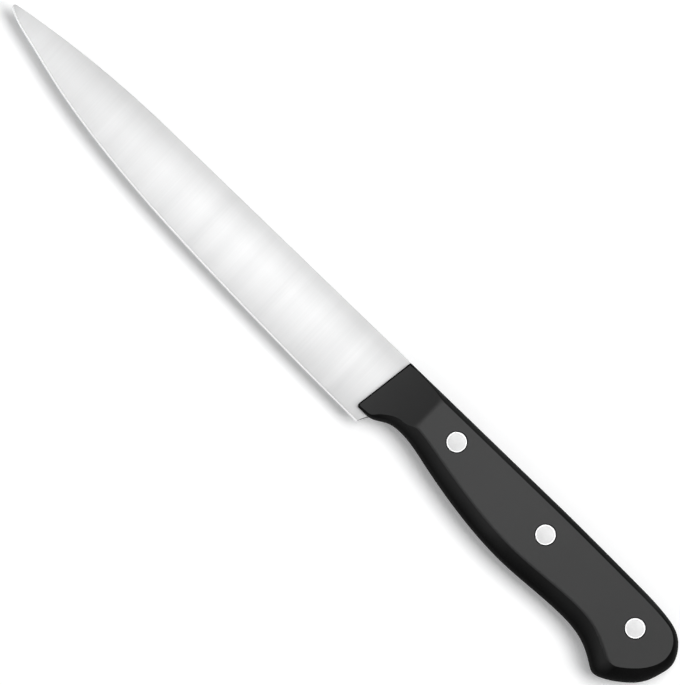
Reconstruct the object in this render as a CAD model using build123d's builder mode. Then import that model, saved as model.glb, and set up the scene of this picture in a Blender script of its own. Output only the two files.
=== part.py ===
from build123d import *
from math import cos, radians, sin, sqrt
import os

os.makedirs("parts", exist_ok=True)

# A fillet knife with a slim, flexible blade and a three-rivet handle.
# The knife lies on its right side: tip towards -X, cutting edge towards -Y, left side up.
# All sizes are millimetres.

# Driving dimensions of the whole knife
blade_length = 160.0
blade_height = 24.0
handle_length = 119.1
handle_height = 29.0
handle_thickness = 15.0
sheet_thickness = 1.6

# Blade: the back is straight, then falls to the tip in one long arc
back_arc_radius = 350.0
back_arc_length = 59.0
tip_width = 1.95
tip_thickness = 0.9
edge_thickness = 0.3
bevel_height = 0.85
heel_length = 0.3
choil_lean = 1.5
choil_radius = 12.0

# Handle: scales that are flat on the side, rounded along the belly and ramped at the front
front_lean = 2.9
front_height = 20.5
front_corner_radius = 0.7
front_scale_thickness = 2.6
back_rounding = 1.45
heel_rounding = 1.9
crease_angle = 12.0
ramp_length = 14.4
ramp_sag = 0.35

# Rivets: a solid post pressed into a hollow sleeve, both ground flush with the scales
rivet_head_diameter = 6.3
rivet_shank_diameter = 4.6
rivet_pin_diameter = 3.0
rivet_head_height = 3.2
rivet_pin_reach = 1.4
rivet_pin_chamfer = 0.4
head_clearance = 0.05
shank_clearance = 0.1
pin_clearance = 0.02
end_clearance = 0.3

# How far cutting bodies run past what they cut
overrun = 1.0

overall_length = blade_length + handle_length
scale_thickness = (handle_thickness - sheet_thickness) / 2
half_thickness = handle_thickness / 2
half_sheet = sheet_thickness / 2

# The knife's own plane: X runs from the tip to the butt, Y is zero along the straight back,
# and the plane lies in the middle of the steel.
knife_plane = Plane((-overall_length / 2, handle_height / 2, half_thickness))

# Rivet centres, as shares of the handle's length behind the blade and of its height
rivet_shares = {
    "front": (0.221, 0.259),
    "middle": (0.543, 0.311),
    "rear": (0.868, 0.362),
}

# The handle's lower edge from the heel to the lowest point of the hook, in the same shares.
# The first row is the edge at the tang, the second is where the flat side begins.
belly_shares = [
    (0.013, 0.708), (0.038, 0.677), (0.064, 0.617), (0.102, 0.592), (0.199, 0.657),
    (0.321, 0.757), (0.511, 0.829), (0.697, 0.794), (0.787, 0.834), (0.845, 0.952),
    (0.871, 1.000),
]
belly_flat_shares = [
    (0.004, 0.601), (0.024, 0.529), (0.056, 0.459), (0.102, 0.428), (0.209, 0.484),
    (0.329, 0.573), (0.511, 0.641), (0.695, 0.603), (0.798, 0.644), (0.847, 0.736),
    (0.881, 0.833),
]

# The butt, from the hook round the rear to where the back is straight again
butt_shares = [
    (0.871, 1.000), (0.896, 0.969), (0.938, 0.860), (0.981, 0.665), (0.994, 0.520),
    (1.000, 0.385), (0.988, 0.242), (0.957, 0.112), (0.903, 0.046), (0.802, 0.018),
    (0.709, 0.010), (0.524, 0.000),
]
butt_flat_shares = [
    (0.881, 0.833), (0.902, 0.781), (0.927, 0.705), (0.958, 0.570), (0.972, 0.465),
    (0.977, 0.372), (0.971, 0.252), (0.947, 0.136), (0.900, 0.085), (0.802, 0.067),
    (0.709, 0.060), (0.524, 0.050),
]

# Slopes of the belly and the butt where they meet: nearly level at the hook's lowest point,
# and a sharp corner on the flat side, so that a crease runs between the two
belly_slope_shares = (1.0, -0.04)
butt_slope_shares = (1.0, 0.04)
belly_flat_slope_shares = (1.0, -0.75)
butt_flat_slope_shares = (1.0, 0.62)
end_pull_shares = (1.0, 1.0)

# Stations along the ground blade, from tip to heel. Each has its share of the blade's length,
# how far the edge has come down from the tip's drop to the blade's height, the share of the
# back's taper from tip to sheet thickness, and how full the side is: 1 is a flat wedge, more
# is rounder. Past the last grind the side runs out into the full sheet, which the scales lie
# flat against.
grind_stations = [
    (-0.005, -0.049, 0.00, 1.25), (0.017, 0.061, 0.03, 1.25), (0.063, 0.192, 0.08, 1.25),
    (0.157, 0.407, 0.18, 1.25), (0.270, 0.604, 0.30, 1.25), (0.380, 0.737, 0.42, 1.25),
    (0.570, 0.873, 0.62, 1.25), (0.755, 0.948, 0.80, 1.25), (0.890, 0.985, 0.93, 1.25),
    (0.940, 0.993, 1.30, 2.20), (0.980, 0.999, 2.60, 7.00), (1.020, 1.006, 2.80, 7.00),
]

# Depths at which a ground side is set out, from the back to the sharpened bevel
side_depth_shares = [0.0, 0.3, 0.6, 0.85, 1.0]

# The tip's small round, as shares of its width, and how far the choil's arc is carried on
# past both ends
tip_back_share = 0.2
tip_nose_share = 0.35
tip_edge_share = 0.35
choil_overrun_share = 0.3

# Narrow straight strips that make up a scale's rounding, from the tang to the flat side
rounding_strips = 10


def back_drop(along):
    """How far the back has fallen below its straight part, at a distance from the tip."""
    run = max(back_arc_length - along, 0)
    return back_arc_radius - sqrt(back_arc_radius**2 - run**2)


def handle_points(shares):
    """Points in the knife's plane from shares of the handle's length and height."""
    return [
        Vector(blade_length + along * handle_length, -down * handle_height)
        for along, down in shares
    ]


def blend(outer, inner, share):
    """Points a share of the way from the outer row to the inner one."""
    return [start + (end - start) * share for start, end in zip(outer, inner)]


def front_point(drop):
    """A point on the leaning front of the scales, at a distance below the back."""
    return Vector(blade_length - front_lean * drop / front_height, -drop)


def handle_outline(plane, draw):
    """The handle seen from the side, drawn in from the tang's edge (0) to the flat's edge (1)."""
    belly = blend(handle_points(belly_shares), handle_points(belly_flat_shares), draw)
    butt = blend(handle_points(butt_shares), handle_points(butt_flat_shares), draw)
    top, corner = blend(
        [front_point(0), front_point(front_height)],
        [front_point(back_rounding), front_point(front_height - heel_rounding)],
        draw,
    )
    belly_end, butt_start = blend(
        [Vector(belly_slope_shares), Vector(butt_slope_shares)],
        [Vector(belly_flat_slope_shares), Vector(butt_flat_slope_shares)],
        draw,
    )
    with BuildSketch(plane) as outline:
        with BuildLine():
            Polyline(butt[-1], top, corner, belly[0])
            Spline(
                belly,
                tangents=[belly[0] - corner, belly_end],
                tangent_scalars=end_pull_shares,
            )
            Spline(
                butt,
                tangents=[butt_start, top - butt[-1]],
                tangent_scalars=end_pull_shares,
            )
        make_face()
        fillet(outline.vertices().sort_by(Axis.X)[0], radius=front_corner_radius)
    return outline.sketch


def ground_section(along_share, down_share, taper_share, fullness):
    """Cross-section of the ground blade at one station, edge down and back up."""
    station_origin = knife_plane.from_local_coords(Vector(along_share * blade_length, 0, 0))
    back_height = overrun - back_drop(along_share * blade_length)
    tip_drop = back_drop(0) + tip_width
    edge_drop = -tip_drop - down_share * (blade_height - tip_drop)
    bevel_top = edge_drop + bevel_height
    half_back = (tip_thickness + taper_share * (sheet_thickness - tip_thickness)) / 2
    half_edge = edge_thickness / 2
    side = [
        (
            back_height + (bevel_top - back_height) * depth,
            half_edge + (half_back - half_edge) * (1 - depth**fullness),
        )
        for depth in side_depth_shares
    ]
    far_side = [(height, -half) for height, half in side]
    with BuildSketch(Plane(station_origin, x_dir=(0, 1, 0), z_dir=(1, 0, 0))) as section:
        with BuildLine():
            Line(far_side[0], side[0])
            Spline(side)
            Polyline(side[-1], (edge_drop, 0), far_side[-1])
            Spline(far_side)
        make_face()
    return section.sketch


rivet_places = handle_points(rivet_shares.values())

# Ground form: the wedge that the blade is ground down to. Where the scales begin it is
# thicker than the sheet, so the grind has run out there.
with BuildPart() as ground_form:
    loft([ground_section(*station) for station in grind_stations])

# Blade and tang: one piece cut from sheet. The blade's end of the sheet is ground, and the
# tang keeps its full thickness and has the handle's outline.
heel_corner = Vector(blade_length + heel_length, -blade_height)
choil_top = Vector(blade_length + heel_length + choil_lean, -front_height)
choil_reach = (choil_top - heel_corner) * choil_overrun_share
choil_start = heel_corner - choil_reach
choil_end = choil_top + choil_reach
tip_back = Vector(tip_width * tip_back_share, -back_drop(tip_width * tip_back_share))
tip_nose = Vector(0, -back_drop(0) - tip_width * tip_nose_share)
tip_edge = Vector(tip_width * tip_edge_share, -back_drop(0) - tip_width)
with BuildPart() as blade_and_tang:
    with BuildSketch(knife_plane):
        with BuildLine():
            Line((choil_end.X, 0), (back_arc_length, 0))
            RadiusArc((back_arc_length, 0), tip_back, -back_arc_radius)
            ThreePointArc(tip_back, tip_nose, tip_edge)
            Polyline(tip_edge, (tip_edge.X, choil_start.Y), choil_start)
            RadiusArc(choil_start, choil_end, choil_radius)
            Line(choil_end, (choil_end.X, 0))
        make_face()
    extrude(amount=half_sheet, both=True)
    add(ground_form.part, mode=Mode.INTERSECT)
    extrude(handle_outline(knife_plane, 0), amount=half_sheet, both=True)
    for place in rivet_places:
        with Locations(knife_plane * Location(place)):
            Hole(radius=rivet_shank_diameter / 2 + shank_clearance)
blade_and_tang.part.label = "blade_and_tang"
export_step(blade_and_tang.part, "parts/blade_and_tang.step")

# Left scale: sections of the outline at rising heights, each drawn in along an arc, so that
# the belly is rounded and meets the flat side at a crease
rounding_sweep = radians(90 - crease_angle)
with BuildPart() as handle_scale_left:
    scale_sections = []
    for strip in range(rounding_strips + 1):
        turn = rounding_sweep * strip / rounding_strips
        rise = scale_thickness * sin(turn) / sin(rounding_sweep)
        draw = (1 - cos(turn)) / (1 - cos(rounding_sweep))
        scale_sections.append(handle_outline(knife_plane.offset(half_sheet + rise), draw))
    loft(scale_sections, ruled=True)
    # Ramp: the scale thins towards the blade, under a slightly hollow slope
    ramp_top = half_sheet + scale_thickness
    with BuildSketch(Plane(knife_plane.origin, x_dir=(1, 0, 0), z_dir=(0, -1, 0))):
        with BuildLine():
            ramp_front = (blade_length - front_lean - overrun, half_sheet + front_scale_thickness)
            ramp_rear = (blade_length + ramp_length, ramp_top)
            SagittaArc(ramp_front, ramp_rear, -ramp_sag)
            Polyline(
                ramp_rear,
                (ramp_rear[0], ramp_top + overrun),
                (ramp_front[0], ramp_top + overrun),
                ramp_front,
            )
        make_face()
    extrude(amount=handle_height + overrun, both=True, mode=Mode.SUBTRACT)
    # Stepped holes: the rivet's head sits in the wide part, flush with the flat side
    for place in rivet_places:
        with Locations(knife_plane.offset(half_thickness) * Location(place)):
            CounterBoreHole(
                radius=rivet_shank_diameter / 2 + shank_clearance,
                counter_bore_radius=rivet_head_diameter / 2 + head_clearance,
                counter_bore_depth=rivet_head_height,
            )
handle_scale_left.part.label = "handle_scale_left"
export_step(handle_scale_left.part, "parts/handle_scale_left.step")

# Right scale: the left one's mirror image, on the other side of the steel
with BuildPart() as handle_scale_right:
    mirror(handle_scale_left.part, about=knife_plane)
handle_scale_right.part.label = "handle_scale_right"
export_step(handle_scale_right.part, "parts/handle_scale_right.step")

# Rivets: the post goes in from the left, the sleeve from the right
shank_span = handle_thickness - 2 * rivet_head_height
for name, place in zip(rivet_shares, rivet_places):
    left_seat = Plane(knife_plane.from_local_coords(Vector(place.X, place.Y, shank_span / 2)))
    right_seat = left_seat.offset(-shank_span)

    with BuildPart() as rivet_post:
        with BuildSketch(left_seat):
            Circle(rivet_head_diameter / 2)
        extrude(amount=rivet_head_height)
        with BuildSketch(left_seat):
            Circle(rivet_pin_diameter / 2)
        extrude(amount=-shank_span - rivet_pin_reach)
        chamfer(rivet_post.edges().sort_by(Axis.Z)[0], length=rivet_pin_chamfer)
    rivet_post.part.label = f"{name}_rivet_post"
    export_step(rivet_post.part, f"parts/{name}_rivet_post.step")

    with BuildPart() as rivet_sleeve:
        with BuildSketch(right_seat.offset(-rivet_head_height)):
            Circle(rivet_head_diameter / 2)
        extrude(amount=rivet_head_height)
        with BuildSketch(right_seat):
            Circle(rivet_shank_diameter / 2)
        extrude(amount=shank_span - end_clearance)
        with BuildSketch(right_seat.offset(-rivet_pin_reach - end_clearance)):
            Circle(rivet_pin_diameter / 2 + pin_clearance)
        extrude(amount=shank_span + rivet_pin_reach + end_clearance, mode=Mode.SUBTRACT)
    rivet_sleeve.part.label = f"{name}_rivet_sleeve"
    export_step(rivet_sleeve.part, f"parts/{name}_rivet_sleeve.step")
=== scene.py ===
import bpy
import bmesh
from math import cos, pi, radians, sin, sqrt, tan
import numpy as np
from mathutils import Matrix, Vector
from mathutils.geometry import delaunay_2d_cdt


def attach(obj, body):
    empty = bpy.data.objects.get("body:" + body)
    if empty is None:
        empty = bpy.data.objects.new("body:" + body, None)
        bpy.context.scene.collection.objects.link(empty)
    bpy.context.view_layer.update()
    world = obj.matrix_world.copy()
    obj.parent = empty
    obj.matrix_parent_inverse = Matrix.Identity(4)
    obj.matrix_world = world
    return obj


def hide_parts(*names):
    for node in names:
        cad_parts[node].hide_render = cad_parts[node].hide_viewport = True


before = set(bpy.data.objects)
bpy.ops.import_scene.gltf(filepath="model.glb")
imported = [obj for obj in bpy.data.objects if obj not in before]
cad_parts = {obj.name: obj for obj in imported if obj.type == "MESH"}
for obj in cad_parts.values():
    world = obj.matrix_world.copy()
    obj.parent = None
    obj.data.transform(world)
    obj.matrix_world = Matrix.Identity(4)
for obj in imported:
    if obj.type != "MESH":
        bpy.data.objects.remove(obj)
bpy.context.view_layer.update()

# Blade and tang: one piece of stainless knife sheet, cut to outline and hardened. The blade is
# ground on both sides, across its width, from the back down to a thin edge with a narrow honed
# bevel. The tang keeps the sheet's full thickness and runs through the whole handle.
blade_length = 160.0
blade_height = 24.0
handle_length = 119.1
handle_height = 29.0
handle_thickness = 15.0
sheet_thickness = 1.6
back_arc_radius = 350.0
back_arc_length = 59.0
back_corner_break = 0.08
back_break_fade = 4.0
choil_break = 0.6
choil_break_depth = 0.24
choil_break_rise = 0.3
tip_width = 1.95
tip_thickness = 0.55
nose_radius = 1.08
nose_drop = 0.88
edge_thickness = 0.2
bevel_height = 0.52
grind_overrun = 1.0
grind_fullness = 1.25
sheet_softness = 0.06
choil_centre = (170.1, -26.822)
choil_radius = 10.0
heel_end = 160.5
choil_finish_start = 160.6
front_lean = 2.9
front_height = 20.5
front_corner_radius = 0.95
front_top_radius = 0.35
back_rounding = 1.45
heel_rounding = 1.9
wedge_end = 161.6
tang_start = 164.5
rivet_shank_diameter = 4.6
shank_clearance = 0.1
column_spacing = 0.5
overall_length = blade_length + handle_length
half_sheet = sheet_thickness / 2
half_thickness = handle_thickness / 2

# Share of the blade's length, how far the edge has come down from the tip to the heel, and
# share of the back's taper
grind_stations = np.array([
    (-0.005, -0.064, 0.00), (0.017, 0.041, 0.03), (0.063, 0.175, 0.08), (0.157, 0.402, 0.18),
    (0.270, 0.604, 0.30), (0.380, 0.737, 0.42), (0.570, 0.873, 0.62), (0.755, 0.948, 0.80),
    (0.890, 0.985, 0.93), (0.940, 0.993, 0.98), (0.980, 0.999, 1.02), (1.030, 1.008, 1.06),
])

# The handle's belly and butt, in shares of its length and height: where the tang ends, and
# where the flat side begins
belly_shares = [
    (0.013, 0.708), (0.038, 0.677), (0.064, 0.617), (0.102, 0.592), (0.199, 0.657),
    (0.321, 0.757), (0.511, 0.829), (0.697, 0.794), (0.787, 0.834), (0.845, 0.952),
    (0.871, 1.000),
]
belly_flat_shares = [
    (0.004, 0.601), (0.024, 0.529), (0.056, 0.459), (0.102, 0.428), (0.209, 0.484),
    (0.329, 0.573), (0.511, 0.641), (0.695, 0.603), (0.798, 0.644), (0.847, 0.736),
    (0.881, 0.833),
]
butt_shares = [
    (0.871, 1.000), (0.896, 0.969), (0.938, 0.860), (0.981, 0.665), (0.994, 0.520),
    (1.000, 0.385), (0.988, 0.242), (0.957, 0.112), (0.903, 0.046), (0.802, 0.018),
    (0.709, 0.010), (0.524, 0.000),
]
butt_flat_shares = [
    (0.881, 0.833), (0.902, 0.781), (0.927, 0.705), (0.958, 0.570), (0.972, 0.465),
    (0.977, 0.372), (0.971, 0.252), (0.947, 0.136), (0.900, 0.085), (0.802, 0.067),
    (0.709, 0.060), (0.524, 0.050),
]
belly_end_slopes = ((1.0, -0.04), (1.0, -0.75))
butt_start_slopes = ((1.0, 0.04), (1.0, 0.62))
rivet_places = {
    "front": (0.221, 0.259),
    "middle": (0.543, 0.311),
    "rear": (0.868, 0.362),
}


def on_handle(shares):
    """Points in mm behind the tip and below the back, from shares of the handle's size."""
    shares = np.array(shares)
    return shares * (handle_length, -handle_height) + (blade_length, 0)


def through(points, start_slope, end_slope, steps):
    """Smooth line through the points, with its slopes at both ends. Steps gives points a span."""
    points = np.array(points, dtype=float)
    spans = np.linalg.norm(np.diff(points, axis=0), axis=1)
    system = np.eye(len(points))
    wanted = np.zeros((len(points), 2))
    wanted[0] = np.array(start_slope) / np.linalg.norm(start_slope)
    wanted[-1] = np.array(end_slope) / np.linalg.norm(end_slope)
    for row in range(1, len(points) - 1):
        before, after = spans[row - 1], spans[row]
        system[row, row - 1:row + 2] = after, 2 * (before + after), before
        wanted[row] = 3 * (
            after * (points[row] - points[row - 1]) / before
            + before * (points[row + 1] - points[row]) / after
        )
    slopes = np.linalg.solve(system, wanted)
    line = []
    for row, span in enumerate(spans):
        t = (np.arange(steps[row]) / steps[row])[:, None]
        line.append(
            (2 * t**3 - 3 * t**2 + 1) * points[row]
            + (t**3 - 2 * t**2 + t) * span * slopes[row]
            + (3 * t**2 - 2 * t**3) * points[row + 1]
            + (t**3 - t**2) * span * slopes[row + 1]
        )
    return np.concatenate(line + [points[-1:]])


def eased(stations, values, along):
    """Values between the stations, without overshoot or kinks."""
    secants = np.diff(values) / np.diff(stations)
    product = secants[:-1] * secants[1:]
    total = np.where(product > 0, secants[:-1] + secants[1:], 1)
    inner = np.where(product > 0, 2 * product / total, 0)
    slopes = np.concatenate([secants[:1], inner, secants[-1:]])
    row = np.clip(np.searchsorted(stations, along) - 1, 0, len(stations) - 2)
    width = stations[row + 1] - stations[row]
    t = (along - stations[row]) / width
    return (
        (2 * t**3 - 3 * t**2 + 1) * values[row]
        + (t**3 - 2 * t**2 + t) * width * slopes[row]
        + (3 * t**2 - 2 * t**3) * values[row + 1]
        + (t**3 - t**2) * width * slopes[row + 1]
    )


def lower_of(one, other, softness):
    """The lower of two heights, with the corner between them rounded off."""
    near = np.maximum(softness - np.abs(one - other), 0)
    return np.minimum(one, other) - near**2 / (4 * softness)


def rounded_corner(before, corner, after, radius, steps):
    """Points round a corner's fillet."""
    arriving = (before - corner) / np.linalg.norm(before - corner)
    leaving = (after - corner) / np.linalg.norm(after - corner)
    half_angle = np.arccos(np.clip(arriving @ leaving, -1, 1)) / 2
    middle = (arriving + leaving) / np.linalg.norm(arriving + leaving)
    centre = corner + middle * radius / sin(half_angle)
    start = corner + arriving * radius / tan(half_angle) - centre
    end = corner + leaving * radius / tan(half_angle) - centre
    sweep = pi - 2 * half_angle
    return np.array([
        centre + (start * sin(sweep * (1 - t)) + end * sin(sweep * t)) / sin(sweep)
        for t in np.linspace(0, 1, steps + 1)
    ])


def straight_run(start, end, count):
    """Points along a straight line, without its ends."""
    return [start + (end - start) * step / count for step in range(1, count)]


def handle_outline(draw):
    """The handle seen from the side, at the tang (0) or the flat (1), from front to front."""
    belly = on_handle(belly_flat_shares if draw else belly_shares)
    butt = on_handle(butt_flat_shares if draw else butt_shares)
    lean = front_lean / front_height
    top_drop = back_rounding if draw else 0
    heel_drop = front_height - (heel_rounding if draw else 0)
    top = np.array((blade_length - lean * top_drop, -top_drop))
    heel = np.array((blade_length - lean * heel_drop, -heel_drop))
    belly_steps, butt_steps = [
        [max(int(span / column_spacing), 3)
         for span in np.linalg.norm(np.diff(on_handle(shares), axis=0), axis=1)]
        for shares in (belly_shares, butt_shares)
    ]
    top_round = rounded_corner(butt[-1], top, heel, front_top_radius, 4)
    heel_round = rounded_corner(top, heel, belly[0], front_corner_radius, 6)
    belly_line = through(belly, belly[0] - heel, belly_end_slopes[draw], belly_steps)
    butt_line = through(butt, butt_start_slopes[draw], top - butt[-1], butt_steps)
    return np.concatenate([
        top_round, straight_run(top_round[-1], heel_round[0], 24),
        heel_round, straight_run(heel_round[-1], belly[0], 6),
        belly_line[:-1], butt_line, straight_run(butt[-1], top_round[0], 60),
    ])


def in_place(points):
    """From mm behind the tip, below the back and out from mid-steel, to metres in the frame."""
    middle = (-overall_length / 2, handle_height / 2, half_thickness)
    return ((np.asarray(points, dtype=float) + middle) / 1000).tolist()


def within(points, loop):
    """Which points lie inside a closed line."""
    crossed = np.zeros(len(points), dtype=bool)
    for a, b in zip(loop, np.roll(loop, -1, axis=0)):
        straddles = (a[1] > points[:, 1]) != (b[1] > points[:, 1])
        rise = np.where(straddles, b[1] - a[1], 1)
        side = a[0] + (points[:, 1] - a[1]) * (b[0] - a[0]) / rise
        crossed ^= straddles & (points[:, 0] < side)
    return crossed


def filled(outer, holes=(), inside=()):
    """Triangles that fill an outline round its holes, through the points given inside it."""
    loops = [outer, *holes]
    corners = np.concatenate([*loops, inside]) if len(inside) else np.concatenate(loops)
    edges = []
    first = 0
    for loop in loops:
        edges += [(first + i, first + (i + 1) % len(loop)) for i in range(len(loop))]
        first += len(loop)
    flat, _, triangles, *_ = delaunay_2d_cdt(
        [Vector(corner) for corner in corners.tolist()], edges, [], 0, 1e-6, False
    )
    flat = np.array([tuple(corner) for corner in flat])
    triangles = np.array([list(face) for face in triangles])
    middles = flat[triangles].mean(1)
    kept = within(middles, outer)
    for hole in holes:
        kept &= ~within(middles, hole)
    return flat, triangles[kept].tolist()


def circle(centre, radius, count=48):
    turns = np.arange(count) * 2 * pi / count
    return np.stack([centre[0] + radius * np.cos(turns), centre[1] + radius * np.sin(turns)], 1)


def make_piece(name, parts, finishes, corner_angle=35):
    """One closed mesh from (points in mm, faces, finish number), smooth but for its corners."""
    mesh = bpy.data.meshes.new(name)
    points, faces, numbers = [], [], []
    for part_points, part_faces, number in parts:
        first = len(points)
        points.extend(in_place(part_points))
        faces.extend([first + corner for corner in face] for face in part_faces)
        numbers.extend([number] * len(part_faces))
    mesh.from_pydata(points, [], faces)
    mesh.polygons.foreach_set("material_index", numbers)
    for finish in finishes:
        mesh.materials.append(finish)
    work = bmesh.new()
    work.from_mesh(mesh)
    bmesh.ops.remove_doubles(work, verts=work.verts, dist=2e-6)
    bmesh.ops.dissolve_degenerate(work, edges=work.edges, dist=1e-7)
    bmesh.ops.recalc_face_normals(work, faces=work.faces)
    for face in work.faces:
        face.smooth = True
    for edge in work.edges:
        same_finish = len({face.material_index for face in edge.link_faces}) == 1
        edge.smooth = same_finish and edge.calc_face_angle(0) < radians(corner_angle)
    work.to_mesh(mesh)
    work.free()
    piece = bpy.data.objects.new(name, mesh)
    bpy.context.scene.collection.objects.link(piece)
    return piece


def linear(hex_colour):
    """sRGB hex to linear red, green, blue and alpha."""
    shares = [int(hex_colour[i:i + 2], 16) / 255 for i in (1, 3, 5)]
    return tuple(
        [s / 12.92 if s <= 0.04045 else ((s + 0.055) / 1.055) ** 2.4 for s in shares] + [1.0]
    )


def add_node(tree, kind, values=None, links=None, **settings):
    """Add one node, with its settings, the values of its sockets and the links to them."""
    node = tree.nodes.new(kind)
    for name, value in settings.items():
        setattr(node, name, value)
    for socket, value in (values or {}).items():
        node.inputs[socket].default_value = value
    for socket, source in (links or {}).items():
        tree.links.new(source, node.inputs[socket])
    return node


def new_finish(name):
    """An empty material with its surface shader and its output."""
    finish = bpy.data.materials.new(name)
    finish.use_nodes = True
    tree = finish.node_tree
    tree.nodes.clear()
    shader = add_node(tree, "ShaderNodeBsdfPrincipled")
    add_node(tree, "ShaderNodeOutputMaterial", links={"Surface": shader.outputs["BSDF"]})
    return finish, tree, shader


def ground_steel(name, dark, pale, roughness, line_strength, painted_light_across, painted_light_along):
    """Stainless steel, ground across the blade with a fine belt: a soft sheen with fine lines,
    and painted highlight and painted shade across and along the blade.
    """
    finish, tree, shader = new_finish(name)
    place = add_node(tree, "ShaderNodeTexCoord")
    apart = add_node(tree, "ShaderNodeSeparateXYZ", links={"Vector": place.outputs["Object"]})
    # From the edge (0) to the back (1), and from the tip (0) to the handle (1)
    up = add_node(tree, "ShaderNodeMapRange", {
        "From Min": handle_height / 2000 - blade_height / 1000, "From Max": handle_height / 2000,
    }, {"Value": apart.outputs["Y"]})
    along = add_node(tree, "ShaderNodeMapRange", {
        "From Min": -overall_length / 2000, "From Max": (blade_length - overall_length / 2) / 1000,
    }, {"Value": apart.outputs["X"]})
    # Painted highlight and shade: these two ramps make the steel paler or darker across and along
    # the blade
    painted_light_across_ramp = add_node(tree, "ShaderNodeValToRGB", links={"Fac": up.outputs["Result"]})
    painted_light_along_ramp = add_node(tree, "ShaderNodeValToRGB", links={"Fac": along.outputs["Result"]})
    for ramp, stops in ((painted_light_across_ramp, painted_light_across), (painted_light_along_ramp, painted_light_along)):
        ramp.color_ramp.interpolation = "B_SPLINE"
        for share, tone in stops[1:-1]:
            ramp.color_ramp.elements.new(share)
        for element, (share, tone) in zip(ramp.color_ramp.elements, stops):
            element.position = share
            element.color = (tone, tone, tone, 1)
    tone = add_node(tree, "ShaderNodeMath", links={
        0: painted_light_across_ramp.outputs["Color"], 1: painted_light_along_ramp.outputs["Color"],
    }, operation="MULTIPLY")
    # Grit lines run across the blade. Real ones are about 0.1 mm apart, too fine to show, so
    # they are drawn about 0.6 mm apart, with wider bands of about 4 mm under them.
    stretched = add_node(tree, "ShaderNodeMapping", {"Scale": (1700, 25, 25)}, {
        "Vector": place.outputs["Object"],
    })
    lines = add_node(tree, "ShaderNodeTexNoise", {
        "Scale": 1.0, "Detail": 2.0, "Roughness": 0.6,
    }, {"Vector": stretched.outputs["Vector"]})
    banded = add_node(tree, "ShaderNodeMapping", {"Scale": (240, 18, 18)}, {
        "Vector": place.outputs["Object"],
    })
    bands = add_node(tree, "ShaderNodeTexNoise", {
        "Scale": 1.0, "Detail": 1.0, "Roughness": 0.5,
    }, {"Vector": banded.outputs["Vector"]})
    marks = add_node(tree, "ShaderNodeMath", {1: 0.4}, {0: bands.outputs["Fac"]},
                     operation="MULTIPLY")
    marks = add_node(tree, "ShaderNodeMath", links={
        0: lines.outputs["Fac"], 1: marks.outputs[0],
    }, operation="ADD")
    marked = add_node(tree, "ShaderNodeMath", {1: line_strength, 2: 1 - 0.7 * line_strength}, {
        0: marks.outputs[0],
    }, operation="MULTIPLY_ADD")
    tone = add_node(tree, "ShaderNodeMath", links={
        0: tone.outputs[0], 1: marked.outputs[0],
    }, operation="MULTIPLY")
    colour = add_node(tree, "ShaderNodeMix", {"A": linear(dark), "B": linear(pale)}, {
        "Factor": tone.outputs[0],
    }, data_type="RGBA")
    dull = add_node(tree, "ShaderNodeMapRange", {
        "To Min": roughness - 0.03, "To Max": roughness + 0.03,
    }, {"Value": bands.outputs["Fac"]})
    bump = add_node(tree, "ShaderNodeBump", {"Strength": 0.12, "Distance": 0.00002}, {
        "Height": lines.outputs["Fac"],
    })
    shader.inputs["Metallic"].default_value = 1.0
    tree.links.new(colour.outputs["Result"], shader.inputs["Base Color"])
    tree.links.new(dull.outputs["Result"], shader.inputs["Roughness"])
    tree.links.new(bump.outputs["Normal"], shader.inputs["Normal"])
    return finish


# Painted highlight a little above the middle of the blade, where its side faces up most squarely,
# and painted shade towards the edge and the back
painted_light_across = [
    (0.0, 0.6), (0.1, 0.68), (0.3, 0.88), (0.53, 1.0), (0.667, 0.97), (0.833, 0.68),
    (0.93, 0.5), (1.0, 0.46),
]
# Painted light along the blade: darker over its front third but for the very tip, palest about
# four fifths along, and a little darker again at the heel
painted_light_along = [
    (0.0, 1.03), (0.06, 0.94), (0.15, 0.75), (0.3, 0.81), (0.45, 0.93), (0.62, 0.98),
    (0.8, 1.0), (1.0, 0.86),
]
blade_finish = ground_steel(
    "stainless steel, belt ground across", "#999999", "#E6E6E6", 0.3, 0.16,
    painted_light_across, painted_light_along,
)
bevel_finish = ground_steel(
    "stainless steel, honed edge", "#BABABA", "#DEDEDE", 0.18, 0.06, painted_light_across, painted_light_along
)
# The cut behind the heel is duller, deburred steel, and its colour is also painted darker: painted
# shade along the cut's break
choil_finish = ground_steel(
    "stainless steel, blanked and deburred, painted darker", "#848484", "#ACACAC", 0.45, 0.1,
    painted_light_across, painted_light_along,
)


def back_drop(along):
    """How far the back has fallen below its straight part."""
    run = np.maximum(back_arc_length - along, 0)
    return back_arc_radius - np.sqrt(back_arc_radius**2 - run**2)


tip_drop = back_drop(0) + tip_width
edge_points = np.stack([
    grind_stations[:, 0] * blade_length,
    -tip_drop - grind_stations[:, 1] * (blade_height - tip_drop),
], 1)
edge_line = through(
    edge_points, (1, -0.48), edge_points[-1] - edge_points[-2], [40] * (len(edge_points) - 1)
)


def edge_level(along):
    return np.interp(along, edge_line[:, 0], edge_line[:, 1])


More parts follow.
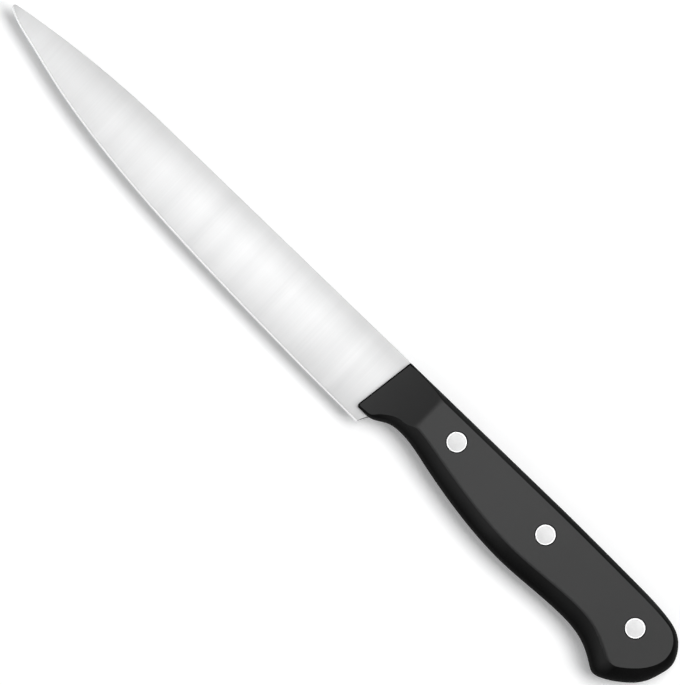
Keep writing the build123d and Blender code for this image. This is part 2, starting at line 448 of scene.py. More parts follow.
def half_steel(along, level):
    """Half the steel's thickness at a distance from the tip and a level below the back."""
    share = along / blade_length
    taper = eased(grind_stations[:, 0], grind_stations[:, 2], share)
    half_back = (tip_thickness + taper * (sheet_thickness - tip_thickness)) / 2
    half_edge = edge_thickness / 2
    top = grind_overrun - back_drop(along)
    edge = edge_level(along)
    depth = np.clip((top - level) / (top - edge - bevel_height), 0, 1)
    side = half_edge + (half_back - half_edge) * (1 - depth**grind_fullness)
    bevel = half_edge * np.clip((level - edge) / bevel_height, 0, 1)
    ground = np.where(level < edge + bevel_height, bevel, side)
    ground = np.where(ground < half_sheet - sheet_softness, ground,
                      lower_of(ground, half_sheet, sheet_softness))
    # Under the scales' front the wedge runs out into the full sheet
    covered = np.clip((along - wedge_end) / (tang_start - wedge_end), 0, 1)
    covered = covered**2 * (3 - 2 * covered)
    return ground + (half_sheet - ground) * covered


nose_level = -back_drop(0) - nose_drop
tang_line = handle_outline(0)

columns = np.concatenate([
    nose_radius * np.linspace(0, 1, 18) ** 2,
    np.geomspace(nose_radius + 0.07, 6, 24),
    np.arange(7, 145, 1.0),
    np.arange(145, blade_length, 0.5),
    np.arange(blade_length, wedge_end, 0.08),
    np.linspace(wedge_end, tang_start, 30),
])
side_rows = 30
belly_run = tang_line[(tang_line[:, 1] < -15) & (tang_line[:, 0] < 175)]
belly_run = belly_run[np.argsort(belly_run[:, 0])]
blade_points, blade_faces, blade_finishes = [], [], []
for column in columns:
    upper, lower = -back_drop(column), edge_level(column)
    if column < nose_radius:
        nose_rise = sqrt(nose_radius**2 - (nose_radius - column) ** 2)
        upper = min(upper, nose_level + nose_rise)
        lower = max(lower, nose_level - nose_rise)
    if column > choil_centre[0] - choil_radius:
        notch = sqrt(choil_radius**2 - (choil_centre[0] - column) ** 2) + choil_centre[1]
        lower = max(lower, min(notch, np.interp(column, belly_run[:, 0], belly_run[:, 1])))
    corner = back_corner_break * np.clip(column, 0, 1)
    corner *= np.clip((blade_length - column) / back_break_fade, 0, 1)
    in_cut = np.clip((column - heel_end) / choil_break_rise, 0, 1)
    cut_break = choil_break * in_cut
    shoulder = max(edge_level(column) + bevel_height, lower + cut_break)
    shoulder = min(shoulder, upper - corner)
    levels = np.concatenate([
        [upper],
        upper - corner + (shoulder - upper + corner) * np.linspace(0, 1, side_rows + 1),
        shoulder + (lower - shoulder) * np.array([0.5, 1.0]),
    ])
    halves = half_steel(np.full(len(levels), column), levels)
    halves[0] -= corner
    halves[-2:] -= choil_break_depth * np.array([0.5, 1.0]) * cut_break
    halves[-2:] = np.maximum(halves[-2:], 0)
    blade_points += [(column, level, half) for level, half in zip(levels, halves)]
    blade_points += [(column, level, -half) for level, half in zip(levels[::-1], halves[::-1])]
ring = 2 * (side_rows + 4)
for column in range(len(columns) - 1):
    for row in range(ring):
        after = (row + 1) % ring
        first = column * ring
        blade_faces.append([first + row, first + after, first + ring + after, first + ring + row])
        on_edge = side_rows + 1 <= row <= side_rows + 5
        edge_finish = 1 if columns[column + 1] < choil_finish_start else 2
        blade_finishes.append(edge_finish if on_edge else 0)
side_faces, bevel_faces, choil_faces = [
    [face for face, number in zip(blade_faces, blade_finishes) if number == wanted]
    for wanted in range(3)
]

# The tang's outline from where the ground blade ends, round the butt and back under the belly
join_levels = np.array([point[1] for point in blade_points[-ring:-ring // 2]])
beyond = tang_line[tang_line[:, 0] > tang_start + 0.1]
round_butt = np.concatenate([
    np.stack([np.full(side_rows + 4, tang_start), join_levels], 1), beyond,
])
kept = np.concatenate([[True], np.linalg.norm(np.diff(round_butt, axis=0), axis=1) > 1e-4])
round_butt = round_butt[kept]
rivet_centres = {name: on_handle([share])[0] for name, share in rivet_places.items()}
shank_hole = rivet_shank_diameter / 2 + shank_clearance
shank_holes = [circle(centre, shank_hole) for centre in rivet_centres.values()]
tang_flat, tang_triangles = filled(round_butt, shank_holes)


def wall(line, low, high, closed=True):
    """A strip of faces between two heights of one outline, given as numbers or as a list."""
    count = len(line)
    low = np.broadcast_to(low, count)
    high = np.broadcast_to(high, count)
    points = np.concatenate([np.column_stack([line, low]), np.column_stack([line, high])])
    last = count if closed else count - 1
    return points, [
        [i, (i + 1) % count, count + (i + 1) % count, count + i] for i in range(last)
    ]


steel_parts = [
    (blade_points, side_faces, 0),
    (blade_points, bevel_faces, 1),
    (blade_points, choil_faces, 2),
    (np.column_stack([tang_flat, np.full(len(tang_flat), half_sheet)]), tang_triangles, 0),
    (np.column_stack([tang_flat, np.full(len(tang_flat), -half_sheet)]), tang_triangles, 0),
    (*wall(np.concatenate([round_butt[len(round_butt) - len(beyond) - 1:], round_butt[:1]]),
           -half_sheet, half_sheet, closed=False), 0),
]
for hole in shank_holes:
    steel_parts.append((*wall(hole, -half_sheet, half_sheet), 0))
blade = make_piece(
    "ground_blade_with_tang", steel_parts, [blade_finish, bevel_finish, choil_finish]
)
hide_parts("blade_and_tang")
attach(blade, "root")

# Handle scales: black acetal, moulded with a rounded belly and butt, pinned to the tang, then
# ground flat on the side and down a ramp towards the blade. The mould leaves a dull skin on
# the rounding, and the belt leaves a finer, slightly silky face.
front_scale_thickness = 2.6
crease_angle = 12.0
crease_radius = 0.4
crease_rim = 0.12
front_crease_rim = 0.4
throat_start, throat_end = 161.0, 173.0
throat_rise, throat_fall = 4.0, 5.0
throat_rim_extra = 0.85
corner_rim_extra = 0.2
corner_crease_extra = 3.2
corner_reach_belly, corner_reach_butt = 6.0, 1.5
corner_rub_passes = 22
corner_rub_reach = 4.0
belly_lean = 0.3
belt_start = 169.5
belt_step = 0.8
ramp_length = 14.4
ramp_sag = 0.35
ramp_crest_softness = 0.26
ramp_overrun = 1.0
rivet_head_diameter = 6.3
rivet_head_height = 3.2
head_clearance = 0.05
hole_break = 0.16
head_points, shank_points = 64, 48
skin_rows = 12
crease_rows = 6
scale_thickness = half_thickness - half_sheet

ramp_front = np.array((
    blade_length - front_lean - ramp_overrun, half_sheet + front_scale_thickness,
))
ramp_rear = np.array((blade_length + ramp_length, half_thickness))
ramp_run = ramp_rear - ramp_front
ramp_chord = np.linalg.norm(ramp_run)
ramp_radius = (ramp_chord**2 / 4 + ramp_sag**2) / (2 * ramp_sag)
ramp_centre = (ramp_front + ramp_rear) / 2 + (
    np.array((-ramp_run[1], ramp_run[0])) / ramp_chord * (ramp_radius - ramp_sag)
)


def top_height(along):
    """The scale's ground face: the ramp at the front, then the flat side."""
    along = np.asarray(along, dtype=float)
    reach = np.clip(along, ramp_front[0] - 5, blade_length + 2 * ramp_length)
    ramp = ramp_centre[1] - np.sqrt(ramp_radius**2 - (reach - ramp_centre[0]) ** 2)
    return lower_of(ramp, half_thickness, ramp_crest_softness)


def bed_height(points):
    """The steel that the scale lies on."""
    return np.where(points[:, 0] < tang_start, half_steel(
        np.minimum(points[:, 0], tang_start), points[:, 1]), half_sheet)


sweep = radians(90 - crease_angle)
flat_line = handle_outline(1)
# The flat's corner between belly and butt is rubbed round
flat_corner = on_handle([belly_flat_shares[-1]])[0]
for _ in range(corner_rub_passes):
    away = np.linalg.norm(flat_line - flat_corner, axis=1) / corner_rub_reach
    mean = (np.roll(flat_line, 1, axis=0) + np.roll(flat_line, -1, axis=0)) / 2
    flat_line = flat_line + (mean - flat_line) * np.exp(-away**4)[:, None] / 2


def skin(turn):
    """The rounding at a turn from the tang, one value for each point of the outline."""
    draw = (1 - np.cos(turn)) / (1 - cos(sweep))
    line = tang_line + (flat_line - tang_line) * draw[:, None]
    return np.column_stack([line, half_sheet + scale_thickness * np.sin(turn) / sin(sweep)])


# Where each line of the rounding meets the ground face
low_turn, high_turn = np.zeros(len(tang_line)), np.full(len(tang_line), sweep)
for _ in range(40):
    turn = (low_turn + high_turn) / 2
    point = skin(turn)
    above = point[:, 2] > top_height(point[:, 0])
    high_turn = np.where(above, turn, high_turn)
    low_turn = np.where(above, low_turn, turn)
crease = skin(low_turn)
speed = np.linalg.norm(crease - skin(low_turn - 0.01), axis=1) / 0.01
past_corner = crease[:, 0] > flat_corner[0]
from_corner = np.linalg.norm(crease[:, :2] - flat_corner, axis=1)
corner_reach = np.where(past_corner, corner_reach_butt, corner_reach_belly)
near_corner = np.exp(-(from_corner / corner_reach) ** 2)
crease_width = crease_radius + corner_crease_extra * near_corner
last_turn = np.maximum(low_turn - crease_width / speed, low_turn * 0.3)
heading = np.roll(crease[:, :2], -1, axis=0) - np.roll(crease[:, :2], 1, axis=0)
heading /= np.linalg.norm(heading, axis=1)[:, None]
inward = np.column_stack([-heading[:, 1], heading[:, 0]])


def inset(distance):
    line = crease[:, :2] + inward * np.reshape(distance, (-1, 1))
    return np.column_stack([line, top_height(line[:, 0])])


rows = [skin(last_turn * step / skin_rows) for step in range(skin_rows + 1)]
rows.insert(0, np.column_stack([tang_line, bed_height(tang_line)]))
near_front = np.clip((blade_length + 3 - crease[:, 0]) / 2, 0, 1)
# The crease is widest and softest in the throat behind the heel
near_throat = np.clip((crease[:, 0] - throat_start) / throat_rise, 0, 1)
near_throat *= np.clip((throat_end - crease[:, 0]) / throat_fall, 0, 1)
near_throat *= inward[:, 1] > belly_lean
near_throat *= near_throat * (3 - 2 * near_throat)
rim = crease_rim + (front_crease_rim - crease_rim) * near_front
rim += corner_rim_extra * near_corner + throat_rim_extra * near_throat
start, end = rows[-1], inset(rim)
for step in range(1, crease_rows + 1):
    t = step / crease_rows
    rows.append((1 - t) ** 2 * start + 2 * t * (1 - t) * crease + t**2 * end)
count = len(tang_line)
skin_points = np.concatenate(rows)
strips = [
    [[row * count + i, row * count + (i + 1) % count,
      (row + 1) * count + (i + 1) % count, (row + 1) * count + i] for i in range(count)]
    for row in range(len(rows) - 1)
]
skin_faces = sum(strips[:-crease_rows], [])
# Behind the throat the belt runs over the belly's crease. It starts and ends row by row, and
# reaches less far near the flat's corner. Elsewhere the skin goes up to the flat.
along_belly = (inward[:, 1] > belly_lean) & ~past_corner
belted_faces, crease_faces = [], []
for step, strip in enumerate(strips[-crease_rows:]):
    belted = along_belly & (step + 0.5 > crease_rows * np.minimum(near_corner, 0.5))
    belted &= from_corner > belt_step * (crease_rows - step)
    belted &= crease[:, 0] > belt_start + belt_step * (crease_rows - step)
    belted_faces += [strip[i] for i in np.flatnonzero(belted)]
    crease_faces += [strip[i] for i in np.flatnonzero(~belted)]


def clear_of(points, loop, distance):
    """Which points keep their distance from a line's own points."""
    return np.array([np.min(np.linalg.norm(loop - point, axis=1)) > distance for point in points])


# The ground face is filled through rows of points, dense on the ramp and its crest, with a
# ring of points near each rim that keeps the shading of the rim narrow
face_line = rows[-1][:, :2]
head_hole = rivet_head_diameter / 2 + head_clearance
wide_holes = [
    circle(centre, head_hole + hole_break, head_points) for centre in rivet_centres.values()
]
dense = np.concatenate([
    np.arange(157.6, 172, 0.8), np.arange(172, 177.2, 0.3), np.arange(179, 278, 4.0),
])
grid = np.array([
    (along, level) for along in dense
    for level in np.arange(-28.5, -0.5, 1.3 if along < 178 else 3.0)
])
grid = grid[within(grid, face_line)]
grid = grid[clear_of(grid, face_line, 1.0)]
rim_ring = inset(rim + 0.4)[:, :2]
rim_ring = rim_ring[within(rim_ring, face_line)]
rim_ring = rim_ring[clear_of(rim_ring, face_line, 0.36)]
hole_rings = []
for centre in rivet_centres.values():
    grid = grid[np.linalg.norm(grid - centre, axis=1) > head_hole + 1.2]
    hole_rings.append(circle(centre, head_hole + hole_break + 0.3, head_points))
face_flat, face_triangles = filled(
    face_line, wide_holes, np.concatenate([grid, rim_ring, *hole_rings])
)
# The inner face is bedded on the steel, also where the blade's wedge reaches under its front
bed = np.array([
    (along, level) for along in np.arange(157.5, 166, 0.7) for level in np.arange(-20, -0.5, 0.8)
])
bed = bed[within(bed, tang_line)]
bed = bed[clear_of(bed, tang_line, 0.4)]
inner_flat, inner_triangles = filled(tang_line, shank_holes, bed)
hole_parts = []
for centre in rivet_centres.values():
    levels = [
        (head_hole + hole_break, half_thickness),
        (head_hole, half_thickness - hole_break),
        (head_hole, half_thickness - rivet_head_height),
        (shank_hole, half_thickness - rivet_head_height),
        (shank_hole, half_sheet),
    ]
    rings = []
    for radius, height in levels:
        size = head_points if radius > shank_hole else shank_points
        rings.append(np.column_stack([circle(centre, radius, size), np.full(size, height)]))
    for outer, inner in ((0, 1), (1, 2), (3, 4)):
        size = len(rings[outer])
        hole_parts.append((
            np.concatenate([rings[outer], rings[inner]]),
            [[i, (i + 1) % size, size + (i + 1) % size, size + i] for i in range(size)], 1,
        ))
    ledge, ledge_triangles = filled(rings[2][:, :2], [rings[3][:, :2]])
    hole_parts.append((
        np.column_stack([ledge, np.full(len(ledge), half_thickness - rivet_head_height)]),
        ledge_triangles, 1,
    ))


def black_acetal(name, colour, pale, roughness, sheen_level, grain, depth, painted_light_ramps):
    """Black acetal: near black with a fine grain, with painted light and shade by place and
    height.
    """
    finish, tree, shader = new_finish(name)
    place = add_node(tree, "ShaderNodeTexCoord")
    fine = add_node(tree, "ShaderNodeTexNoise", {
        "Scale": 1000 / grain, "Detail": 2.0, "Roughness": 0.6,
    }, {"Vector": place.outputs["Object"]})
    broad = add_node(tree, "ShaderNodeTexNoise", {
        "Scale": 60.0, "Detail": 2.0, "Roughness": 0.5,
    }, {"Vector": place.outputs["Object"]})
    mixed = add_node(tree, "ShaderNodeMath", {1: 0.5}, {
        0: fine.outputs["Fac"], 2: broad.outputs["Fac"],
    }, operation="MULTIPLY_ADD")
    share = add_node(tree, "ShaderNodeMapRange", {
        "From Min": 0.45, "From Max": 1.05, "To Min": -0.1, "To Max": 0.14,
    }, {"Value": mixed.outputs[0]})
    # How grey it is goes by the place on the knife and by the height over its middle, as painted
    # light and shade: each row of the list gives a direction, where it starts and ends in mm, and
    # the shares there
    apart = add_node(tree, "ShaderNodeSeparateXYZ", links={"Vector": place.outputs["Object"]})
    level = add_node(tree, "ShaderNodeMath", {1: half_thickness / 1000}, {
        0: apart.outputs["Z"],
    }, operation="SUBTRACT")
    level = add_node(tree, "ShaderNodeMath", links={0: level.outputs[0]}, operation="ABSOLUTE")
    directions = {"X": apart.outputs["X"], "Y": apart.outputs["Y"], "height": level.outputs[0]}
    painted_light_share = None
    for direction, start, end, at_start, at_end in painted_light_ramps:
        reach = add_node(tree, "ShaderNodeMapRange", {
            "From Min": start / 1000, "From Max": end / 1000,
            "To Min": at_start, "To Max": at_end,
        }, {"Value": directions[direction]})
        if painted_light_share:
            reach = add_node(tree, "ShaderNodeMath", links={
                0: painted_light_share.outputs[0], 1: reach.outputs["Result"],
            }, operation="MULTIPLY")
        painted_light_share = reach
    share = add_node(tree, "ShaderNodeMath", links={
        0: share.outputs["Result"], 1: painted_light_share.outputs[0],
    }, operation="ADD")
    tone = add_node(tree, "ShaderNodeMix", {"A": linear(colour), "B": linear(pale)}, {
        "Factor": share.outputs[0],
    }, data_type="RGBA")
    dull = add_node(tree, "ShaderNodeMapRange", {
        "From Min": 0.3, "From Max": 0.7,
        "To Min": roughness - 0.04, "To Max": roughness + 0.04,
    }, {"Value": fine.outputs["Fac"]})
    bump = add_node(tree, "ShaderNodeBump", {"Strength": 0.25, "Distance": depth / 1000}, {
        "Height": fine.outputs["Fac"],
    })
    shader.inputs["Specular IOR Level"].default_value = sheen_level
    tree.links.new(tone.outputs["Result"], shader.inputs["Base Color"])
    tree.links.new(dull.outputs["Result"], shader.inputs["Roughness"])
    tree.links.new(bump.outputs["Normal"], shader.inputs["Normal"])
    return finish


# Grain of 0.5 mm and 0.8 mm: the real one is finer, but finer wouldn't show
# Painted light and shade on the handle: the ground face is paler towards the front and darker
# towards the butt; the moulded skin is paler high on the rounding, on the belly side and towards
# the front, with a painted highlight at the corner between belly and butt, and darker low down,
# along the back and round the butt
face_finish = black_acetal("black acetal, belt ground and silky", "#121212", "#242424",
                           0.36, 0.37, 0.5, 0.02, [("X", 65, 125, 0.95, 0.1)])
skin_finish = black_acetal("black acetal, as moulded", "#070707", "#282828",
                           0.7, 0.03, 0.8, 0.02, [
                               ("height", 4.8, 7.3, 0.1, 0.8), ("Y", -2, 8, 1, 0.5),
                               ("X", 72, 81, 1.3, 0.65), ("X", 110, 123, 1, 2.15),
                               ("X", 124, 127.5, 1, 0.07),
                           ])
for side, node in ((1, "handle_scale_left"), (-1, "handle_scale_right")):
    scale_parts = [
        (skin_points, skin_faces, 1),
        (skin_points, crease_faces, 1),
        (skin_points, belted_faces, 0),
        (np.column_stack([face_flat, top_height(face_flat[:, 0])]), face_triangles, 0),
        (np.column_stack([inner_flat, bed_height(inner_flat)]), inner_triangles, 1),
        *hole_parts,
    ]
    scale_parts = [
        (np.asarray(points) * (1, 1, side), faces, number) for points, faces, number in scale_parts
    ]
    scale = make_piece(f"{node}_moulded", scale_parts, [face_finish, skin_finish])
    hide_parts(node)
    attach(scale, "root")

# Rivets: three cutlery rivets of aluminium, each a solid post pressed into a hollow sleeve
# from the other side. Both heads are ground flush with the scales and buffed. The paler ring
# at the rim is partly that buffing and partly a painted highlight.
rivet_pin_diameter = 3.0
rivet_pin_reach = 1.4
rivet_pin_chamfer = 0.4
pin_clearance = 0.02
end_clearance = 0.3
rim_break = 0.14
buffed_and_highlight_ring_width = 0.42
head_crown = 0.025
shank_span = handle_thickness - 2 * rivet_head_height

aluminium, tree, shader = new_finish("aluminium, ground flush and buffed")
place = add_node(tree, "ShaderNodeTexCoord")
distance = add_node(tree, "ShaderNodeAttribute", attribute_name="from_centre")
# The paler ring, partly a painted highlight, starts softly inside the rim
ring_start = rivet_head_diameter / 2 - buffed_and_highlight_ring_width
ring_share = add_node(tree, "ShaderNodeMapRange", {
    "From Min": (ring_start - 0.08) / 1000, "From Max": (ring_start + 0.08) / 1000,
}, {"Value": distance.outputs["Fac"]}, interpolation_type="SMOOTHSTEP")
swirl = add_node(tree, "ShaderNodeTexNoise", {
    "Scale": 900.0, "Detail": 3.0, "Roughness": 0.6,
}, {"Vector": place.outputs["Object"]})
face_tone = add_node(tree, "ShaderNodeMix", {"A": linear("#ABABAB"), "B": linear("#BFBFBF")}, {
    "Factor": swirl.outputs["Fac"],
}, data_type="RGBA")
tone = add_node(tree, "ShaderNodeMix", {"B": linear("#E8E8E8")}, {
    "Factor": ring_share.outputs["Result"], "A": face_tone.outputs["Result"],
}, data_type="RGBA")
dull = add_node(tree, "ShaderNodeMapRange", {"To Min": 0.34, "To Max": 0.3}, {
    "Value": ring_share.outputs["Result"],
})
bump = add_node(tree, "ShaderNodeBump", {"Strength": 0.1, "Distance": 0.00001}, {
    "Height": swirl.outputs["Fac"],
})
shader.inputs["Metallic"].default_value = 1.0
tree.links.new(tone.outputs["Result"], shader.inputs["Base Color"])
tree.links.new(dull.outputs["Result"], shader.inputs["Roughness"])
tree.links.new(bump.outputs["Normal"], shader.inputs["Normal"])

# The tree turns half a rivet from its profile: a grid of profile rows and turned columns
turned = bpy.data.node_groups.new("turned rivet half", "GeometryNodeTree")
turned.interface.new_socket(name="Geometry", in_out="OUTPUT", socket_type="NodeSocketGeometry")
turned_inputs = {}
for label, kind in (
    ("Segments", "NodeSocketInt"), ("Head Radius", "NodeSocketFloat"),
    ("Rim Break", "NodeSocketFloat"), ("Ring Width", "NodeSocketFloat"),
    ("Crown", "NodeSocketFloat"), ("Head Top", "NodeSocketFloat"),
    ("Head Bottom", "NodeSocketFloat"), ("Shank Radius", "NodeSocketFloat"),
    ("Shank End", "NodeSocketFloat"), ("Inner Radius", "NodeSocketFloat"),
    ("Inner Start", "NodeSocketFloat"), ("Inner End", "NodeSocketFloat"),
    ("Place", "NodeSocketVector"), ("Turn", "NodeSocketVector"),
    ("Finish", "NodeSocketMaterial"),
):
    socket = turned.interface.new_socket(name=label, in_out="INPUT", socket_type=kind)
    turned_inputs[label] = socket.identifier
given = add_node(turned, "NodeGroupInput")
profile_rows = 11
turns_plus_one = add_node(turned, "ShaderNodeMath", {1: 1.0}, {0: given.outputs["Segments"]},
                          operation="ADD")
sheet = add_node(turned, "GeometryNodeMeshGrid", {"Vertices Y": profile_rows}, {
    "Vertices X": turns_plus_one.outputs[0],
})
index = add_node(turned, "GeometryNodeInputIndex")
row = add_node(turned, "FunctionNodeIntegerMath", {1: profile_rows}, {0: index.outputs[0]},
               operation="MODULO")
column = add_node(turned, "FunctionNodeIntegerMath", {1: profile_rows}, {0: index.outputs[0]},
                  operation="DIVIDE_FLOOR")
whole_share = add_node(turned, "ShaderNodeMath", links={
    0: column.outputs[0], 1: given.outputs["Segments"],
}, operation="DIVIDE")
angle = add_node(turned, "ShaderNodeMath", {1: 2 * pi}, {0: whole_share.outputs[0]},
                 operation="MULTIPLY")
ring_inside = add_node(turned, "ShaderNodeMath", links={
    0: given.outputs["Head Radius"], 1: given.outputs["Ring Width"],
}, operation="SUBTRACT")
mid_face = add_node(turned, "ShaderNodeMath", {1: 0.5}, {0: ring_inside.outputs[0]},
                    operation="MULTIPLY")
rim_inside = add_node(turned, "ShaderNodeMath", links={
    0: given.outputs["Head Radius"], 1: given.outputs["Rim Break"],
}, operation="SUBTRACT")
mid_height = add_node(turned, "ShaderNodeMath", {1: -0.25}, {
    0: given.outputs["Crown"], 2: given.outputs["Head Top"],
}, operation="MULTIPLY_ADD")
rim_height = add_node(turned, "ShaderNodeMath", links={
    0: given.outputs["Head Top"], 1: given.outputs["Crown"],
}, operation="SUBTRACT")
rim_bottom = add_node(turned, "ShaderNodeMath", links={
    0: rim_height.outputs[0], 1: given.outputs["Rim Break"],
}, operation="SUBTRACT")
radii = [
    None, mid_face.outputs[0], ring_inside.outputs[0], rim_inside.outputs[0],
    given.outputs["Head Radius"], given.outputs["Head Radius"], given.outputs["Shank Radius"],
    given.outputs["Shank Radius"], given.outputs["Inner Radius"], given.outputs["Inner Radius"],
    None,
]
heights = [
    given.outputs["Head Top"], mid_height.outputs[0], rim_height.outputs[0],
    rim_height.outputs[0], rim_bottom.outputs[0], given.outputs["Head Bottom"],
    given.outputs["Head Bottom"], given.outputs["Shank End"], given.outputs["Inner Start"],
    given.outputs["Inner End"], given.outputs["Inner End"],
]
chosen = []
for values in (radii, heights):
    pick = add_node(turned, "GeometryNodeIndexSwitch", data_type="FLOAT")
    while len(pick.index_switch_items) < profile_rows:
        pick.index_switch_items.new()
    turned.links.new(row.outputs[0], pick.inputs["Index"])
    for socket, source in zip(pick.inputs[1:profile_rows + 1], values):
        if source is not None:
            turned.links.new(source, socket)
    chosen.append(pick.outputs[0])
radius, height = chosen
cosine = add_node(turned, "ShaderNodeMath", links={0: angle.outputs[0]}, operation="COSINE")
sine = add_node(turned, "ShaderNodeMath", links={0: angle.outputs[0]}, operation="SINE")
side_x = add_node(turned, "ShaderNodeMath", links={0: radius, 1: cosine.outputs[0]},
                  operation="MULTIPLY")
side_y = add_node(turned, "ShaderNodeMath", links={0: radius, 1: sine.outputs[0]},
                  operation="MULTIPLY")
surface = add_node(turned, "ShaderNodeCombineXYZ", links={
    "X": side_x.outputs[0], "Y": side_y.outputs[0], "Z": height,
})
shaped = add_node(turned, "GeometryNodeSetPosition", links={
    "Geometry": sheet.outputs["Mesh"], "Position": surface.outputs[0],
})
measured = add_node(turned, "GeometryNodeStoreNamedAttribute", {"Name": "from_centre"}, {
    "Geometry": shaped.outputs[0], "Value": radius,
}, data_type="FLOAT", domain="POINT")
closed = add_node(turned, "GeometryNodeMergeByDistance", {"Distance": 1e-6}, {
    "Geometry": measured.outputs[0],
})
smoothed = add_node(turned, "GeometryNodeSetShadeSmooth", {"Shade Smooth": True}, {
    "Geometry": closed.outputs[0],
}, domain="FACE")
bend = add_node(turned, "GeometryNodeInputMeshEdgeAngle")
sharp = add_node(turned, "FunctionNodeCompare", {"B": radians(35)}, {
    "A": bend.outputs["Unsigned Angle"],
}, data_type="FLOAT", operation="GREATER_THAN")
cornered = add_node(turned, "GeometryNodeSetShadeSmooth", {"Shade Smooth": False}, {
    "Geometry": smoothed.outputs[0], "Selection": sharp.outputs[0],
}, domain="EDGE")
spot = add_node(turned, "GeometryNodePoints", {"Count": 1}, {"Position": given.outputs["Place"]})
set_in = add_node(turned, "GeometryNodeInstanceOnPoints", links={
    "Points": spot.outputs[0], "Instance": cornered.outputs[0], "Rotation": given.outputs["Turn"],
})
real = add_node(turned, "GeometryNodeRealizeInstances", links={"Geometry": set_in.outputs[0]})
coated = add_node(turned, "GeometryNodeSetMaterial", links={
    "Geometry": real.outputs[0], "Material": given.outputs["Finish"],
})
add_node(turned, "NodeGroupOutput", links={"Geometry": coated.outputs[0]})

head_sizes = {
    "Segments": 72, "Head Radius": rivet_head_diameter / 2, "Rim Break": rim_break,
    "Ring Width": buffed_and_highlight_ring_width, "Crown": head_crown, "Head Top": half_thickness,
    "Head Bottom": half_thickness - rivet_head_height,
}
pin_end = -half_thickness + rivet_head_height - rivet_pin_reach
post_sizes = {
    "Shank Radius": rivet_pin_diameter / 2, "Shank End": pin_end + rivet_pin_chamfer,
    "Inner Radius": rivet_pin_diameter / 2 - rivet_pin_chamfer,
    "Inner Start": pin_end, "Inner End": pin_end,
}
sleeve_end = half_thickness - rivet_head_height - shank_span + end_clearance
bore_end = half_thickness - rivet_head_height + rivet_pin_reach + end_clearance
sleeve_sizes = {
    "Shank Radius": rivet_shank_diameter / 2, "Shank End": sleeve_end,
    "Inner Radius": rivet_pin_diameter / 2 + pin_clearance,
    "Inner Start": sleeve_end, "Inner End": bore_end,
}
for name, centre in rivet_centres.items():
    middle = in_place([(*centre, 0)])[0]
    for half, sizes, turn in (("post", post_sizes, 0), ("sleeve", sleeve_sizes, pi)):
        piece = bpy.data.objects.new(
            f"{name}_rivet_{half}_flush", bpy.data.meshes.new(f"{name}_rivet_{half}_flush")
        )
        bpy.context.scene.collection.objects.link(piece)
        turning = piece.modifiers.new("turned rivet half", "NODES")
        turning.node_group = turned
        for label, value in {**head_sizes, **sizes}.items():
            turning[turned_inputs[label]] = value if label == "Segments" else value / 1000
        turning[turned_inputs["Place"]] = middle
        turning[turned_inputs["Turn"]] = (turn, 0.0, 0.0)
        turning[turned_inputs["Finish"]] = aluminium
        made = piece.evaluated_get(bpy.context.evaluated_depsgraph_get())
        solid = bpy.data.meshes.new_from_object(made)
        piece.modifiers.clear()
        piece.data = solid
        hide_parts(f"{name}_rivet_{half}")
        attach(piece, "root")

# Table top, light and camera: a wide white table under a soft lamp up to the right of the
# picture, a dim panel nearly overhead and a strip past the cutting edge, in a pale, dim room
floor_size = 3.0
floor_drop = 0.00005
table_lift = 0.14
floor_mesh = bpy.data.meshes.new("white_table")
floor_mesh.from_pydata(
    [(x * floor_size, y * floor_size, -floor_drop)
     for x, y in ((-1, -1), (1, -1), (1, 1), (-1, 1))],
    [], [(0, 1, 2, 3)],
)
floor = bpy.data.objects.new("white_table", floor_mesh)
bpy.context.scene.collection.objects.link(floor)
table_finish, tree, shader = new_finish("white laminate, matt")
shader.inputs["Base Color"].default_value = linear("#F8F8F8")
shader.inputs["Roughness"].default_value = 0.8
shader.inputs["Specular IOR Level"].default_value = 0.0
path = add_node(tree, "ShaderNodeLightPath")
seen = add_node(tree, "ShaderNodeMath", links={
    0: path.outputs["Is Camera Ray"], 1: path.outputs["Is Glossy Ray"],
}, operation="MAXIMUM")
seen = add_node(tree, "ShaderNodeMath", links={
    0: seen.outputs[0], 1: path.outputs["Is Transmission Ray"],
}, operation="MAXIMUM")
lift = add_node(tree, "ShaderNodeMath", {1: table_lift}, {0: seen.outputs[0]},
                operation="MULTIPLY")
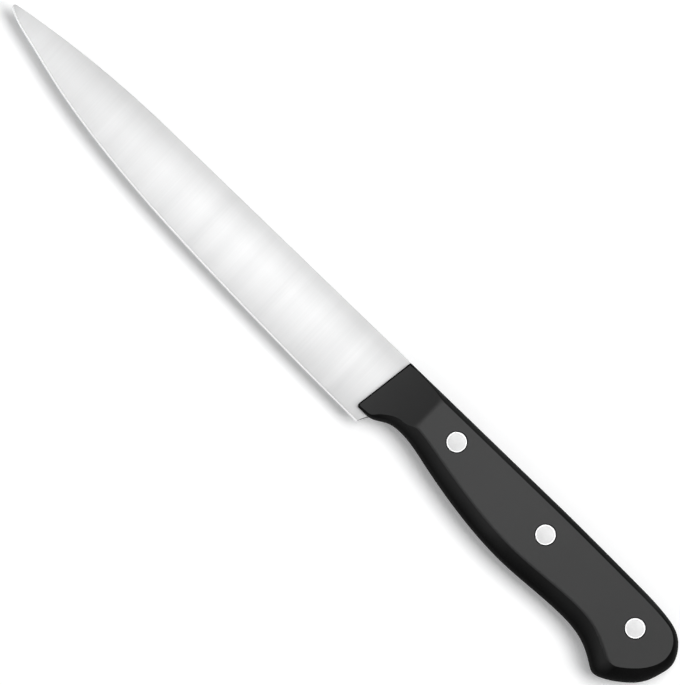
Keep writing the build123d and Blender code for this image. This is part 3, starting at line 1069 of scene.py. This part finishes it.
shader.inputs["Emission Color"].default_value = (1, 1, 1, 1)
tree.links.new(lift.outputs[0], shader.inputs["Emission Strength"])
floor_mesh.materials.append(table_finish)

room = bpy.data.worlds.new("pale, dim room")
room.use_nodes = True
tree = room.node_tree
tree.nodes.clear()
view = add_node(tree, "ShaderNodeTexCoord")
apart = add_node(tree, "ShaderNodeSeparateXYZ", links={"Vector": view.outputs["Generated"]})
# Walls are brighter than the ceiling
strength = add_node(tree, "ShaderNodeMapRange", {"To Min": 0.4, "To Max": 0.2}, {
    "Value": apart.outputs["Z"],
})
background = add_node(tree, "ShaderNodeBackground", {"Color": (0.97, 0.985, 1.0, 1)}, {
    "Strength": strength.outputs["Result"],
})
add_node(tree, "ShaderNodeOutputWorld", links={"Surface": background.outputs[0]})
bpy.context.scene.world = room

lamp_height = 2.2
for name, low, high, radiance in (
    ("soft_lamp", (-0.14, 0.13), (0.8, 0.62), 7.6),
    ("top_panel", (-0.32, -0.25), (0.06, 0.12), 0.6),
    ("edge_strip", (-0.45, -0.5), (0.4, -0.3), 1.35),
):
    sides = [(end - start) * lamp_height for start, end in zip(low, high)]
    lamp_data = bpy.data.lights.new(name, "AREA")
    lamp_data.shape = "RECTANGLE"
    lamp_data.size, lamp_data.size_y = sides
    lamp_data.energy = radiance * pi * sides[0] * sides[1]
    lamp = bpy.data.objects.new(name, lamp_data)
    middle = [(start + end) / 2 * lamp_height for start, end in zip(low, high)]
    lamp.location = (*middle, lamp_height)
    lamp.visible_camera = False
    bpy.context.scene.collection.objects.link(lamp)

# The photograph looks straight down from far away. The knife lies at 44 degrees across it.
picture_height = 0.20497
camera_data = bpy.data.cameras.new("camera")
camera_data.lens = 1500
camera = bpy.data.objects.new("camera", camera_data)
camera.location = (
    0.00098, 0.00417,
    half_thickness / 1000 + camera_data.lens / camera_data.sensor_width * picture_height,
)
camera.rotation_euler = (0, 0, radians(44))
bpy.context.scene.collection.objects.link(camera)
bpy.context.scene.camera = camera
bpy.context.scene.view_settings.view_transform = "Standard"
